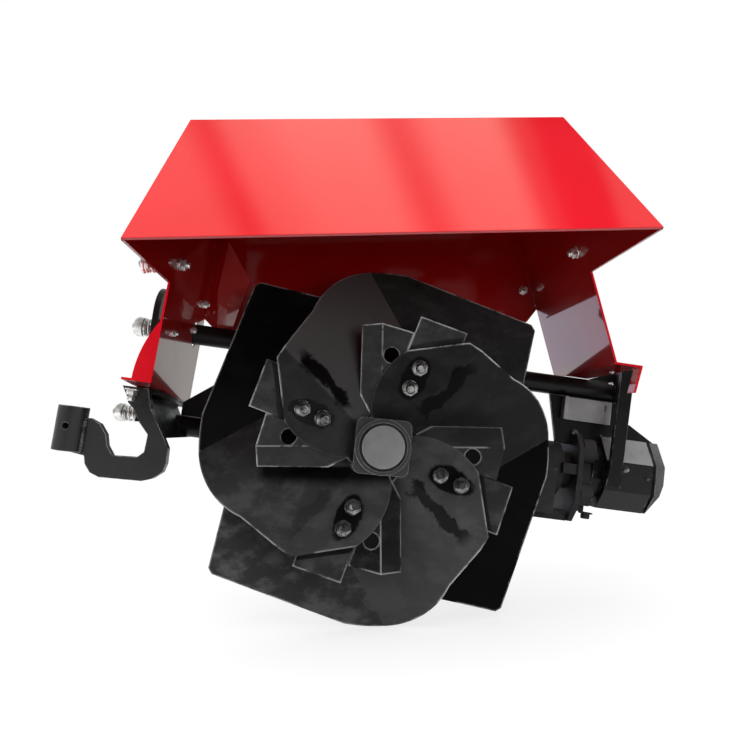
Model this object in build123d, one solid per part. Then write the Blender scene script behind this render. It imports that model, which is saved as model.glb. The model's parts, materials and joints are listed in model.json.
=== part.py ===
"""Hydraulic rotary tiller head: a hooded four-blade rotor on a tube frame, driven through a gearbox.

Millimetres. +X is to the right seen from the rotor's open side, +Y runs from the rotor back to the carrier
plate, +Z is up. Pieces are laid out from the rotor axis: the rotor turns about Y through x = z = 0 and the
hub cap's face is y = 0. The hood stands level; the tube frame, the drive and the hook hang turned about the
rotor axis by FRAME_ROLL, and are laid out in that turned frame. At the end all is moved so that the centre
of the carrier plate's rear face is the origin.
"""

import math
import os

from build123d import *

SEAT = 0.3                     # gap left between pieces that rest on each other with curved faces
REACH = 600.0                  # longer than anything here, for pieces made too large and then cut

# ---------------------------------------------------------------- hood, bent from sheet
SHEET = 3.0                    # thickness of the hood's sheet
HOOD_SHIFT = 12.0              # hood's middle, to the right of the rotor axis
HOOD_HALF_WIDTH = 326.0        # inner half width at the height of the rotor axis
HOOD_LEAN = 0.20               # how much each side leans in, for each millimetre up
ROOF_Z = 424.0                 # inner height of the roof
RIDGE_Y = -34.0                # where the roof bends down into the visor
VISOR_Y, VISOR_Z = -186.0, 225.0   # the visor's lower front edge
SIDE_FRONT_Y = 0.0             # front edge of the side legs
REAR_Y = 236.0                 # inner face of the rear wall, and the legs' rear edge
LEG_BOTTOM_Z = {-1: 95.0, 1: 98.0}     # lower end of the left and right leg at the front
LEFT_LEG_DROP = 18.0           # how much lower the left leg reaches at its rear edge
REAR_WALL_BOTTOM_Z = 197.0
REAR_WALL_CORNER = (26.0, 24.0)    # width and height of the cut at the rear wall's lower corners
REAR_STIFFENER = 24.0          # depth of the rear wall's bottom flange
FLANGE_WIDTH = 38.0            # the flanges bent outward at the legs' feet
LEFT_LIP_HEIGHT = 84.0         # curved web between the left leg and its flange
LEFT_LIP_FOOT = 25.0           # how far the web reaches out along the flange
RIGHT_LIP_DROP = 35.0          # lip bent down from the right flange
RIGHT_LIP_LEAN = 6.0
RIGHT_LIP_DEPTH = 20.0

# ---------------------------------------------------------------- tube frame and carrier plate
FRAME_ROLL = 10.0              # degrees, frame turned clockwise as seen from the front
TUBE_Y = 190.0
TUBE_RADIUS = 16.0
TUBE_WALL = 4.0
TUBE_HOLE_GAP = 4.0            # free ring where the upper tube passes through the left leg
UPPER_TUBE_Z = 135.0
LOWER_TUBE_Y, LOWER_TUBE_Z = 200.0, -10.5
END_PLATE_OFFSET = 47.0        # from the left leg's foot out to the end plate
END_PLATE_THICKNESS = 10.0
END_PLATE_HALF_DEPTH = 40.0
END_PLATE_TOP, END_PLATE_BOTTOM = 200.0, -12.0
# right bracket: a bar before the motor, its web back to the upper tube; x from the right leg's foot
BAR_TOP, BAR_KNEE, BAR_BOTTOM = 168.0, 14.0, -16.0
BAR_THICKNESS = 8.0
BAR_FRONT_Y = 130.0
BAR_LEFT_X, BAR_RIGHT_X = (60.5, 65.0, 68.5), (83.5, 89.5)     # left edge at bottom, knee and top; right edge
WEB_THICKNESS = 8.0
WEB_BOTTOM = 118.0
WEB_DEPTH = 80.0
WEB_GUSSET_WIDTH, WEB_GUSSET_THICKNESS = 42.0, 8.0
CARRIER_SIZE = 132.0
CARRIER_THICKNESS = 12.0
CARRIER_PCD = 127.0
CARRIER_HOLE_RADIUS = 7.0
HANGER_INSET = 16.0            # from the carrier plate's side edges in to the gearbox hangers' middles
HANGER_THICKNESS = 10.0
HANGER_FRONT = (160.0, 166.0)  # front edge of a gearbox hanger, at the gearbox and at the tube
HANGER_STEP = 2.0              # how far below the carrier plate the hangers turn upright
HANGER_TOP_DROP = 6.0          # from the upper tube's axis down to the hangers' tops

# ---------------------------------------------------------------- hook and its sleeve
# x and z of hook, brace and sleeve are measured from the left leg's lower inner corner, in the turned frame
HOOK_THICKNESS = 12.0
HOOK_Y = 60.0                  # front face of the hook, its back on the brace's front edge
HOOK_ARM_X = (-54.0, -19.0)    # left and right edges of the arm where it meets the leg's flange
BRACE_SHELF = 6.0              # thickness of the shelf under the left leg's flange
BRACE_ELBOW, BRACE_FOOT = (-11.5, -33.0), (12.5, -70.0)    # on the right edge of arm and brace
BRACE_FOOT_WIDTH = 10.0
BRACE_END_Z = -28.0            # lowest point of the brace where it meets the end plate
# outer edge of the hook, from the brace's foot round to the sleeve
HOOK_BEND = [(20, -83), (21, -104), (18, -116), (6, -126), (-8, -131), (-65, -133), (-78, -128),
             (-86, -118), (-89, -107)]
# inner edge, from the sleeve back up to the arm
HOOK_MOUTH = [(-90, -56), (-75, -62), (-65, -75), (-61, -90), (-52, -102), (-19, -100), (-11, -92),
              (-10, -68), (-23, -54), (-36, -34), (-46, -20)]
SLEEVE_X = -114.5
SLEEVE_RADIUS = 20.0
SLEEVE_BORE = 13.0
SLEEVE_TOP, SLEEVE_BOTTOM = -43.0, -103.5
HOOK_STEP = 16.0               # how far the hook's end lies below the sleeve's top
CROSS_HOLE_Z = -70.0
CROSS_HOLE_RADIUS = 4.5

# ---------------------------------------------------------------- plates of the frame
GUSSET_Y, GUSSET_THICKNESS = 190.0, 6.0
GUSSET_CORNER_Z = 26.0         # height of the gusset at its left end
GUSSET_TOP_X = (-186.0, -140.0)
STRAP_FRONT, STRAP_REAR = 182.0, 188.0
STRAP_LEFT = 290.0             # left edge of the strap at the gearbox's neck
STRAP_SLANT = 17.0
HANGER_BOTTOM = 63.0           # lower edge of the hanger over the end flange
CROSS_PLATE_WIDTH, CROSS_PLATE_GAP = 81.0, 3.0     # gap between the plate and the bracket's web
CROSS_PLATE_Z = (81.0, 117.0)
CROSS_PLATE_THICKNESS, CROSS_PLATE_BEND = 5.0, 16.0
CROSS_SLOT_WIDTH, CROSS_SLOT_HEIGHT = 3.0, 10.0
CROSS_SLOT_IN, CROSS_SLOT_DOWN = 10.0, 11.0        # slot's middle from the plate's right and top edges

# ---------------------------------------------------------------- drive
DRIVE_Y = 204.0                # axis of neck and motor, behind the hub cap's face
GEARBOX_HALF = 56.0            # half height of the gearbox body
GEARBOX_FRONT, GEARBOX_REAR = 148.0, 262.0
GEARBOX_LEFT, GEARBOX_RIGHT = -78.0, 92.0
GEARBOX_CHAMFER = 12.0
NECK_RADIUS, NECK_END = 44.0, 301.0
THROAT_RADIUS = 30.0           # thinner end of the neck before its flange
FLANGE_LEFT, FLANGE_RIGHT = 318.0, 326.0
FLANGE_BACK = 345.0            # right end of the flange's bosses
NECK_RIBS = [                  # left, right, front, rear, low, high: front rib, side rib, foot under the neck
    (NECK_END - 5, FLANGE_LEFT, 150, DRIVE_Y, -5, 11),
    (256, 285, 146, DRIVE_Y, -69, 0),
    (248, FLANGE_LEFT, DRIVE_Y - 26, DRIVE_Y + 26, -80, -66),
]
FLANGE_SECTION = [(146, -50), (146, 36), (166, 60), (192, 60), (262, 12), (262, -50), (236, -79), (172, -79)]
FLANGE_BOSS_RADIUS = 19.0
FLANGE_BOSSES = [(39, 34), (41, -33)]     # distance to each side of the drive's axis, height
FLANGE_BARREL_RADIUS = 46.0
ADAPTER_END = FLANGE_BACK + 18
ADAPTER_RADIUS = 50.0
MOTOR_LENGTH = 75.0
MOTOR_GROOVE = 5.5             # width of the groove between motor body and end cover
COVER_LENGTH = 13.5
COVER_CUT_Z = -4.0             # height at which the cover's lower right edge is cut away
MOTOR_Z = 4.0                  # height of the motor's axis
MOTOR_SECTION = [(147, -22), (147, 24), (178, 61), (230, 61), (261, 24), (261, -22), (235, -53), (173, -53)]
PORT_BLOCK_LEFT, PORT_BLOCK_FLAT, PORT_BLOCK_RIGHT = ADAPTER_END + 5, ADAPTER_END + 49, ADAPTER_END + 92
PORT_BLOCK_HEIGHT = 25.0
PORT_BLOCK_FRONT, PORT_BLOCK_REAR = STRAP_REAR, 228.0
PORT_RADIUS, PORT_DEPTH = 8.0, 14.0
PORT_STEPS = (14.0, 36.0)      # the two ports' distances from the block's left end
BEARING_FLANGE_HALF = 42.0     # half width of the output bearing's flange
BEARING_WALL = 12.0
BEARING_FRONT = 134.0

# ---------------------------------------------------------------- rotor
BLADE_COUNT = 4
BLADE_DEPTH = 6.0              # sheet thickness measured along the rotor axis
LOBE_RADIUS = 261.0
LOBE_TOP_ANGLE, LOBE_END_ANGLE = 0.0, -13.0
SHOULDER, LOBE_START = (212.0, 24.0), (243.0, 13.0)    # radius and angle of outline points
TIP, ROOT_TIP_AT = (184.2, 47.4), (135.0, 72.8)
ROOT_TIP_Y = 24.0
TAIL_CORNER, TAIL_CHAMFER = (305.0, -55.9), 7.0
TAIL_EDGE_ANGLES = (69.4, 164.5)   # directions of the tail's two edges from its corner
TAIL_Y = 120.0                 # front face of a blade's flat tail
TAIL_INNER = [(62, -222), (36, -60), (0, 0), (-12, 54.7)]   # the tail's edge back to the hub, and past it
FREE_EDGE_MIDDLE = (109.0, 83.0)   # radius and angle on the curved edge from there to the root tip
WING_SLOPE = 0.63              # how fast the wing falls back, square to the tail bend
BEND_OFFSET, BEND_ANGLE = 118.0, 26.6  # tail bend: distance from the rotor axis, direction
FOLD_INNER, FOLD_OUTER = (44.4, 37.6), (143.5, 126.4)  # fold between mounting panel and wing
FOLD_ANGLE = math.degrees(math.atan2(FOLD_OUTER[1] - FOLD_INNER[1], FOLD_OUTER[0] - FOLD_INNER[0]))
HUB_HALF = 37.0                # square hub block
HUB_CORNER = 10.0
HUB_TURN = 8.0                 # degrees the block is turned against the blades' axes
HUB_FRONT, HUB_REAR = 14.0, 118.0
RING_RADIUS, RING_WALL, RING_FRONT = 37.0, 5.0, 5.0
CAP_RADIUS = 28.0
SHAFT_RADIUS = 20.0
SHAFT_FIT = 0.05               # radial running clearance of the shaft in its housing
BLADE_BOLT_RADII, BLADE_BOLT_ANGLE = (88.8, 118.6), 61.7
BLADE_BOLT_HOLE = 6.5
PIN_LENGTH = 80.0              # of the pins that cut the holes, longer than the sheets bolted together
KNIFE_THICKNESS = 8.0
KNIFE_OUTLINE = [(41, 128), (62, 175.5), (124.5, 149.5), (112, 120), (80, 74), (48, 56), (24, 82)]
ARM_THICKNESS = 6.0
ARM_FLANGE_EDGE = [(51.5, 153), (41, 129), (86, 117), (46, 46)]     # edge of the flange behind the blade
ARM_FOLD = [(2.0, 30.0), (8.5, 168.0)]     # bend between the arm's flange and strip, from the hub out
ARM_STRIP_EDGE = [(-28.0, 30.0), (-19.0, 168.0)]
ARM_STRIP_SLOPE = 0.35         # how fast the arm's strip falls back from its flange
ARM_HOLE, ARM_HOLE_RADIUS = (19.0, 124.0), 10.5

parts = {}


def polar(radius, degrees):
    """A point in the rotor's front view, from the axis."""
    angle = math.radians(degrees)
    return (radius * math.cos(angle), radius * math.sin(angle))


def along(point, degrees, distance):
    """The point this far from another, in this direction of the front view."""
    x, z = polar(distance, degrees)
    return (point[0] + x, point[1] + z)


def turned(shape):
    """From the turned frame into the level one."""
    return Rot(0, FRAME_ROLL, 0) * shape


def plate_xz(points, y0, y1):
    """A plate square to Y between y0 and y1, from its (x, z) outline."""
    face = make_face(Polyline(*[(x, y0, z) for x, z in points], close=True))
    return extrude(face, amount=y1 - y0, dir=(0, 1, 0))


def plate_yz(points, x0, x1):
    """A plate square to X between x0 and x1, from its (y, z) outline."""
    face = make_face(Polyline(*[(x0, y, z) for y, z in points], close=True))
    return extrude(face, amount=x1 - x0, dir=(1, 0, 0))


def rod_x(x0, x1, y, z, radius):
    return Pos((x0 + x1) / 2, y, z) * Rot(0, 90, 0) * Cylinder(radius, x1 - x0)


def rod_y(y0, y1, x, z, radius):
    return Pos(x, (y0 + y1) / 2, z) * Rot(90, 0, 0) * Cylinder(radius, y1 - y0)


def rod_z(z0, z1, x, y, radius):
    return Pos(x, y, (z0 + z1) / 2) * Cylinder(radius, z1 - z0)


def block(x, y, z):
    """A box between two coordinates each way."""
    return Pos(sum(x) / 2, sum(y) / 2, sum(z) / 2) * Box(x[1] - x[0], y[1] - y[0], z[1] - z[0])


# ================================================================ hood
SHEET_OUT = SHEET * math.hypot(1, HOOD_LEAN)   # the leaning sheet's thickness measured along X


def side_x(side, z, out=0.0):
    """x of a side sheet's inner face at height z; side is -1 left, +1 right; out moves it outward."""
    return HOOD_SHIFT + side * (HOOD_HALF_WIDTH - HOOD_LEAN * z + out)


def leg_bottom(side, y):
    """Height of a leg's lower edge, which slopes down to the rear on the left."""
    drop = LEFT_LEG_DROP if side < 0 else 0
    return LEG_BOTTOM_Z[side] - drop * (y - SIDE_FRONT_Y) / (REAR_Y - SIDE_FRONT_Y)


def leg_foot(side, y=SIDE_FRONT_Y):
    """Inner lower edge of a leg in the turned frame, where its flange begins."""
    z, roll = leg_bottom(side, y), math.radians(FRAME_ROLL)
    x = side_x(side, z)
    return (x * math.cos(roll) - z * math.sin(roll), x * math.sin(roll) + z * math.cos(roll))


LEFT_FOOT, RIGHT_FOOT = leg_foot(-1), leg_foot(1)


def from_left_foot(points):
    return [(LEFT_FOOT[0] + x, LEFT_FOOT[1] + z) for x, z in points]


def between_sides():
    """A long prism along Y as wide as the outer faces of the two leaning sides."""
    low, high = 0.0, ROOF_Z + 100
    points = [(side_x(-1, low, SHEET_OUT), low), (side_x(1, low, SHEET_OUT), low),
              (side_x(1, high, SHEET_OUT), high), (side_x(-1, high, SHEET_OUT), high)]
    return plate_xz(points, VISOR_Y - 100, REAR_Y + 100)


def hood_cover():
    """Visor and roof, one sheet with a bend at the ridge, over the edges of the sides."""
    drop, length = ROOF_Z - VISOR_Z, RIDGE_Y - VISOR_Y
    slant = math.hypot(drop, length)
    half_turn = math.tan(math.atan2(drop, length) / 2)
    outline = [
        (VISOR_Y, VISOR_Z), (RIDGE_Y, ROOF_Z), (REAR_Y + SHEET, ROOF_Z),
        (REAR_Y + SHEET, ROOF_Z + SHEET), (RIDGE_Y - SHEET * half_turn, ROOF_Z + SHEET),
        (VISOR_Y - drop / slant * SHEET, VISOR_Z + length / slant * SHEET),
    ]
    return plate_yz(outline, -REACH, REACH) & between_sides()


def hood_side(side):
    """A leaning side sheet with its front leg, and the flange bent outward at the leg's foot."""
    outline = [
        (VISOR_Y, VISOR_Z), (RIDGE_Y, ROOF_Z), (REAR_Y, ROOF_Z),
        (REAR_Y, leg_bottom(side, REAR_Y)), (SIDE_FRONT_Y, LEG_BOTTOM_Z[side]), (SIDE_FRONT_Y, VISOR_Z),
    ]
    face = make_face(Polyline(*[(side_x(side, z), y, z) for y, z in outline], close=True))
    sheet = extrude(face, amount=SHEET_OUT, dir=(side, 0, 0))
    (x0, z0), (x1, z1) = leg_foot(side), leg_foot(side, REAR_Y)
    out = side * FLANGE_WIDTH
    underside = make_face(Polyline((x0, SIDE_FRONT_Y, z0), (x0 + out, SIDE_FRONT_Y, z0),
                                   (x1 + out, REAR_Y, z1), (x1, REAR_Y, z1), close=True))
    return sheet + turned(extrude(underside, amount=SHEET, dir=(0, 0, 1)))


def hood_side_left():
    """The left side has a curved lip in front and lets the upper tube through."""
    z, top = LEG_BOTTOM_Z[-1], LEG_BOTTOM_Z[-1] + LEFT_LIP_HEIGHT
    inner, high = (side_x(-1, z), SIDE_FRONT_Y, z), (side_x(-1, top), SIDE_FRONT_Y, top)
    out = (inner[0] - LEFT_LIP_FOOT, SIDE_FRONT_Y, z + LEFT_LIP_FOOT * math.tan(math.radians(FRAME_ROLL)))
    middle = ((high[0] + out[0]) / 2 - 6, SIDE_FRONT_Y, (high[2] + out[2]) / 2 + 3)
    edge = Polyline(high, inner, out) + ThreePointArc(out, middle, high)
    lip = extrude(make_face(edge), amount=SHEET, dir=(0, 1, 0))
    passage = rod_x(-REACH, 0, TUBE_Y, UPPER_TUBE_Z, TUBE_RADIUS + TUBE_HOLE_GAP)
    return hood_side(-1) + lip - turned(passage)


def hood_side_right():
    """The right side's flange ends in a lip bent down."""
    x, z = leg_foot(1)
    out = x + FLANGE_WIDTH
    lip = plate_xz([(out - SHEET, z), (out, z), (out - RIGHT_LIP_LEAN, z - RIGHT_LIP_DROP),
                    (out - RIGHT_LIP_LEAN - SHEET, z - RIGHT_LIP_DROP)], SIDE_FRONT_Y, RIGHT_LIP_DEPTH)
    return hood_side(1) + turned(lip)


def hood_rear_wall():
    """Rear wall between the sides, its lower corners cut off, a flange bent back along its lower edge."""
    low, high = REAR_WALL_BOTTOM_Z, REAR_WALL_BOTTOM_Z + REAR_WALL_CORNER[1]
    left, right = side_x(-1, low, SHEET_OUT), side_x(1, low, SHEET_OUT)
    cut = REAR_WALL_CORNER[0]
    outline = [(left + cut, low), (right - cut, low), (side_x(1, high, SHEET_OUT), high),
               (side_x(1, ROOF_Z, SHEET_OUT), ROOF_Z), (side_x(-1, ROOF_Z, SHEET_OUT), ROOF_Z),
               (side_x(-1, high, SHEET_OUT), high)]
    wall = plate_xz(outline, REAR_Y, REAR_Y + SHEET)
    return wall + block((left + cut, right - cut), (REAR_Y, REAR_Y + REAR_STIFFENER), (low, low + SHEET))


# ================================================================ rotor
def wing_y(x, z):
    """Front face of the wing: it falls back square to the tail bend."""
    angle = math.radians(BEND_ANGLE)
    across = x * math.sin(angle) - z * math.cos(angle)
    return TAIL_Y - WING_SLOPE * (BEND_OFFSET - across)


def root_y(x, z):
    """Front face of the mounting panel: the plane through the fold and the root tip."""
    tip = polar(*ROOT_TIP_AT)
    ax, az = FOLD_OUTER[0] - FOLD_INNER[0], FOLD_OUTER[1] - FOLD_INNER[1]
    bx, bz = tip[0] - FOLD_INNER[0], tip[1] - FOLD_INNER[1]
    start = wing_y(*FOLD_INNER)
    ay, by = wing_y(*FOLD_OUTER) - start, ROOT_TIP_Y - start
    det = ax * bz - az * bx
    px, pz = x - FOLD_INNER[0], z - FOLD_INNER[1]
    return start + (px * bz - pz * bx) / det * ay + (ax * pz - az * px) / det * by


def thick(points, height, depth=BLADE_DEPTH):
    """A sloping sheet: (x, z) points lifted onto height(x, z), then thickened along Y."""
    face = make_face(Polyline(*[(x, height(x, z), z) for x, z in points], close=True))
    return extrude(face, amount=depth, dir=(0, 1, 0))


def blade_outline():
    """A blade's whole outline in the front view, for the blade whose lobe points right."""
    def at(point):
        return (point[0], 0, point[1])

    root_tip, shoulder = at(polar(*ROOT_TIP_AT)), at(polar(*SHOULDER))
    lobe_top, lobe_end = at(polar(LOBE_RADIUS, LOBE_TOP_ANGLE)), at(polar(LOBE_RADIUS, LOBE_END_ANGLE))
    corner = polar(*TAIL_CORNER)
    chamfer_ends = [at(along(corner, angle, TAIL_CHAMFER)) for angle in TAIL_EDGE_ANGLES]
    outer = Polyline(root_tip, at(polar(*TIP)), shoulder)
    bulge = ThreePointArc(shoulder, at(polar(*LOBE_START)), lobe_top)
    lobe = ThreePointArc(lobe_top, at(polar(LOBE_RADIUS, (LOBE_TOP_ANGLE + LOBE_END_ANGLE) / 2)), lobe_end)
    inner = [at(point) for point in TAIL_INNER]
    tail = Polyline(lobe_end, *chamfer_ends, *inner)
    free_edge = ThreePointArc(inner[-1], at(polar(*FREE_EDGE_MIDDLE)), root_tip)
    return make_face(outer + bulge + lobe + tail + free_edge)


def hub_block():
    body = block((-HUB_HALF, HUB_HALF), (HUB_FRONT, HUB_REAR), (-HUB_HALF, HUB_HALF))
    return Rot(0, HUB_TURN, 0) * fillet(body.edges().filter_by(Axis.Y), HUB_CORNER)


def upright_on(height, x, z):
    """Places a cutter square to the sloping sheet height(x, z), one side along the radius."""
    here = height(x, z)
    square = (here - height(x + 1, z), 1, here - height(x, z + 1))
    return Plane(origin=(x, here, z), x_dir=(x, 0, z), z_dir=square)


def bolt_holes(cutter):
    """The cutter in the two places where the blade bolts pass through panel, arm and knife."""
    places = [upright_on(root_y, *polar(radius, BLADE_BOLT_ANGLE)) for radius in BLADE_BOLT_RADII]
    return places[0] * cutter + places[1] * cutter


def round_holes():
    return bolt_holes(Cylinder(BLADE_BOLT_HOLE, PIN_LENGTH))


def square_holes():
    """For the square necks that keep the blade bolts from turning."""
    return bolt_holes(Box(2 * BLADE_BOLT_HOLE, 2 * BLADE_BOLT_HOLE, PIN_LENGTH))


def fold_ends():
    return along(FOLD_INNER, FOLD_ANGLE, -REACH / 2), along(FOLD_INNER, FOLD_ANGLE, REACH)


def bend_ends():
    foot = polar(BEND_OFFSET, BEND_ANGLE - 90)
    return along(foot, BEND_ANGLE, -REACH / 3), along(foot, BEND_ANGLE, REACH)


def wing_panel(depth=BLADE_DEPTH):
    """The wing between its two folds, not yet cut to the outline."""
    fold_in, fold_out = fold_ends()
    bend_in, bend_out = bend_ends()
    return thick([fold_in, fold_out, bend_out, bend_in], wing_y, depth)


def blade():
    """Mounting panel, wing and tail folded from one sheet, cut to the outline, the hub block taken out."""
    fold_in, fold_out = fold_ends()
    bend_in, bend_out = bend_ends()
    root = thick([fold_in, fold_out, along(fold_out, FOLD_ANGLE + 90, REACH),
                  along(fold_in, FOLD_ANGLE + 90, REACH)], root_y)
    tail = thick([bend_in, bend_out, along(bend_out, BEND_ANGLE - 90, REACH),
                  along(bend_in, BEND_ANGLE - 90, REACH)], lambda x, z: TAIL_Y)
    cutter = Pos(0, -REACH / 2, 0) * extrude(blade_outline(), amount=REACH, dir=(0, 1, 0))
    sheet = (root & cutter) + (wing_panel() & cutter) + (tail & cutter)
    return sheet - hub_block() - round_holes()


def arm():
    """Bent bracket behind the mounting panel; its strip leans back toward the next blade's wing."""
    def flange_y(x, z):
        return root_y(x, z) + BLADE_DEPTH

    def strip_y(x, z):
        (x0, z0), (x1, z1) = ARM_FOLD
        fold_x = x0 + (x1 - x0) * (z - z0) / (z1 - z0)
        return flange_y(fold_x, z) + ARM_STRIP_SLOPE * (fold_x - x)

    flange = thick([*ARM_FOLD, *ARM_FLANGE_EDGE], flange_y, ARM_THICKNESS)
    strip = thick([*ARM_FOLD, *reversed(ARM_STRIP_EDGE)], strip_y, ARM_THICKNESS)
    bracket = flange + strip - square_holes() - hub_block()
    bracket -= upright_on(flange_y, *ARM_HOLE) * Cylinder(ARM_HOLE_RADIUS, PIN_LENGTH)
    return bracket - Rot(0, -90, 0) * wing_panel(REACH)


def knife():
    """Bolt-on knife behind the arm, standing out past the mounting panel's outer edge."""
    plate = thick(KNIFE_OUTLINE, lambda x, z: root_y(x, z) + BLADE_DEPTH + ARM_THICKNESS, KNIFE_THICKNESS)
    return plate - square_holes()


def rotor_hub():
    """Square block bored for the shaft, with a raised ring round its cap."""
    ring = rod_y(RING_FRONT, HUB_FRONT, 0, 0, RING_RADIUS) - rod_y(0, HUB_FRONT, 0, 0, RING_RADIUS - RING_WALL)
    return hub_block() - rod_y(0, HUB_REAR + 1, 0, 0, SHAFT_RADIUS) + ring


# ================================================================ tube frame
END_PLATE_RIGHT = LEFT_FOOT[0] - END_PLATE_OFFSET
END_PLATE_LEFT = END_PLATE_RIGHT - END_PLATE_THICKNESS
WEB_RIGHT = RIGHT_FOOT[0] + BAR_RIGHT_X[1]
WEB_LEFT = WEB_RIGHT - WEB_THICKNESS
ELBOW, FOOT = from_left_foot([BRACE_ELBOW, BRACE_FOOT])


def tube(x0, x1, y, z):
    return rod_x(x0, x1, y, z, TUBE_RADIUS) - rod_x(x0 - 1, x1 + 1, y, z, TUBE_RADIUS - TUBE_WALL)


def lower_tube():
    """Runs from the brace's leaning face to the gearbox."""
    y, z, above = LOWER_TUBE_Y, LOWER_TUBE_Z, TUBE_RADIUS + 1
    (x0, z0), (x1, z1) = ELBOW, FOOT
    lean = (x1 - x0) / (z1 - z0)
    room = plate_xz([(x0 + lean * (z + above - z0), z + above), (x0 + lean * (z - above - z0), z - above),
                     (GEARBOX_LEFT, z - above), (GEARBOX_LEFT, z + above)], y - above, y + above)
    return tube(END_PLATE_RIGHT, GEARBOX_LEFT + 1, y, z) & room


def left_end_plate():
    """Upright plate closing the upper tube on the left, its top rounded about the tube."""
    front, rear = TUBE_Y - END_PLATE_HALF_DEPTH, TUBE_Y + END_PLATE_HALF_DEPTH
    round_z = END_PLATE_TOP - END_PLATE_HALF_DEPTH
    plate = block((END_PLATE_LEFT, END_PLATE_RIGHT), (front, rear), (END_PLATE_BOTTOM, round_z))
    return plate + rod_x(END_PLATE_LEFT, END_PLATE_RIGHT, TUBE_Y, round_z, END_PLATE_HALF_DEPTH)


def hook_brace():
    """Deep slanting brace from the hook back to the end plate and tube, with a shelf for the left flange."""
    front, rear = HOOK_Y + HOOK_THICKNESS, TUBE_Y + END_PLATE_HALF_DEPTH
    high, low = leg_foot(-1, front)[1] - SEAT, leg_foot(-1, rear)[1] - SEAT
    outline = [(END_PLATE_RIGHT, low), (LEFT_FOOT[0] + HOOK_ARM_X[1], low), ELBOW, FOOT,
               (FOOT[0] - BRACE_FOOT_WIDTH, FOOT[1]), (END_PLATE_RIGHT, LEFT_FOOT[1] + BRACE_END_Z)]
    shelf = plate_yz([(front, high), (rear, low), (rear, low - BRACE_SHELF), (front, high - BRACE_SHELF)],
                     END_PLATE_RIGHT, LEFT_FOOT[0] - 2 * SHEET)
    return plate_xz(outline, front, rear) + shelf


def right_bracket():
    """Bar hanging before the motor, its web back along the upper tube's end, a gusset on top of the tube."""
    back = BAR_FRONT_Y + BAR_THICKNESS
    (low, knee, top), (right_low, right_top) = BAR_LEFT_X, BAR_RIGHT_X
    outline = [(low, BAR_BOTTOM), (right_low, BAR_BOTTOM), (right_top, BAR_TOP), (top, BAR_TOP),
               (knee, BAR_KNEE)]
    bar = plate_xz([(RIGHT_FOOT[0] + x, z) for x, z in outline], BAR_FRONT_Y, back)
    web = block((WEB_LEFT, WEB_RIGHT), (back, back + WEB_DEPTH), (WEB_BOTTOM, BAR_TOP))
    rest = UPPER_TUBE_Z + TUBE_RADIUS + SEAT
    gusset = plate_xz([(WEB_LEFT - WEB_GUSSET_WIDTH, rest), (WEB_LEFT, rest), (WEB_LEFT, BAR_TOP)],
                      TUBE_Y - WEB_GUSSET_THICKNESS / 2, TUBE_Y + WEB_GUSSET_THICKNESS / 2)
    return bar + web + gusset


def clear(radius, y, centre_y):
    """Half height of a round bar of this radius where a plate's face at y meets it."""
    return math.sqrt(radius ** 2 - (y - centre_y) ** 2)


def hanger_strap():
    """Plate hanging from the upper tube, wide over the end flange, with a strap down to the gearbox's neck."""
    top = UPPER_TUBE_Z - clear(TUBE_RADIUS, STRAP_REAR, TUBE_Y) - SEAT
    foot = clear(NECK_RADIUS, STRAP_REAR, DRIVE_Y) + SEAT
    tab = MOTOR_Z + clear(ADAPTER_RADIUS, STRAP_REAR, DRIVE_Y) + SEAT
    strap_right, tab_left, tab_right = FLANGE_LEFT - SEAT, FLANGE_RIGHT + SEAT, ADAPTER_END - SEAT
    return plate_xz([(STRAP_LEFT - STRAP_SLANT, top), (WEB_LEFT, top), (WEB_LEFT, WEB_BOTTOM),
                     (WEB_RIGHT, WEB_BOTTOM), (WEB_RIGHT, HANGER_BOTTOM), (tab_right, HANGER_BOTTOM),
                     (tab_right, tab), (tab_left, tab), (tab_left, HANGER_BOTTOM), (strap_right, HANGER_BOTTOM),
                     (strap_right, foot), (STRAP_LEFT, foot)], STRAP_FRONT, STRAP_REAR)


def cross_plate():
    """Zinc plated cover on the hanger, its left edge bent forward, with a small slot."""
    right, high = WEB_LEFT - CROSS_PLATE_GAP, CROSS_PLATE_Z[1]
    left, front = right - CROSS_PLATE_WIDTH, STRAP_FRONT - CROSS_PLATE_THICKNESS
    plate = block((left, right), (front, STRAP_FRONT), CROSS_PLATE_Z)
    plate += block((left, left + CROSS_PLATE_THICKNESS), (STRAP_FRONT - CROSS_PLATE_BEND, STRAP_FRONT),
                   CROSS_PLATE_Z)
    slot = Box(CROSS_SLOT_WIDTH, 3 * CROSS_PLATE_THICKNESS, CROSS_SLOT_HEIGHT)
    return plate - Pos(right - CROSS_SLOT_IN, front, high - CROSS_SLOT_DOWN) * slot


def frame_gusset():
    """Upright plate between the two tubes at their left ends, its corner cut back to the brace."""
    low = LOWER_TUBE_Z + clear(TUBE_RADIUS, GUSSET_Y + GUSSET_THICKNESS, LOWER_TUBE_Y) + SEAT
    high = UPPER_TUBE_Z - clear(TUBE_RADIUS, GUSSET_Y, TUBE_Y) - SEAT
    left = LEFT_FOOT[0]
    return plate_xz([(left, low), (left, GUSSET_CORNER_Z), (GUSSET_TOP_X[0], high), (GUSSET_TOP_X[1], high),
                     (GUSSET_TOP_X[1], low)], GUSSET_Y, GUSSET_Y + GUSSET_THICKNESS)


def carrier_plate():
    """Square plate on the upper tube with the four holes the carrier bolts to."""
    half, front = CARRIER_SIZE / 2, TUBE_Y + TUBE_RADIUS + SEAT
    plate = block((-half, half), (front, front + CARRIER_THICKNESS), (UPPER_TUBE_Z - half, UPPER_TUBE_Z + half))
    for k in range(4):
        x, z = polar(CARRIER_PCD / 2, 45 + 90 * k)
        plate -= rod_y(front - 1, front + CARRIER_THICKNESS + 1, x, UPPER_TUBE_Z + z, CARRIER_HOLE_RADIUS)
    return plate


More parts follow.
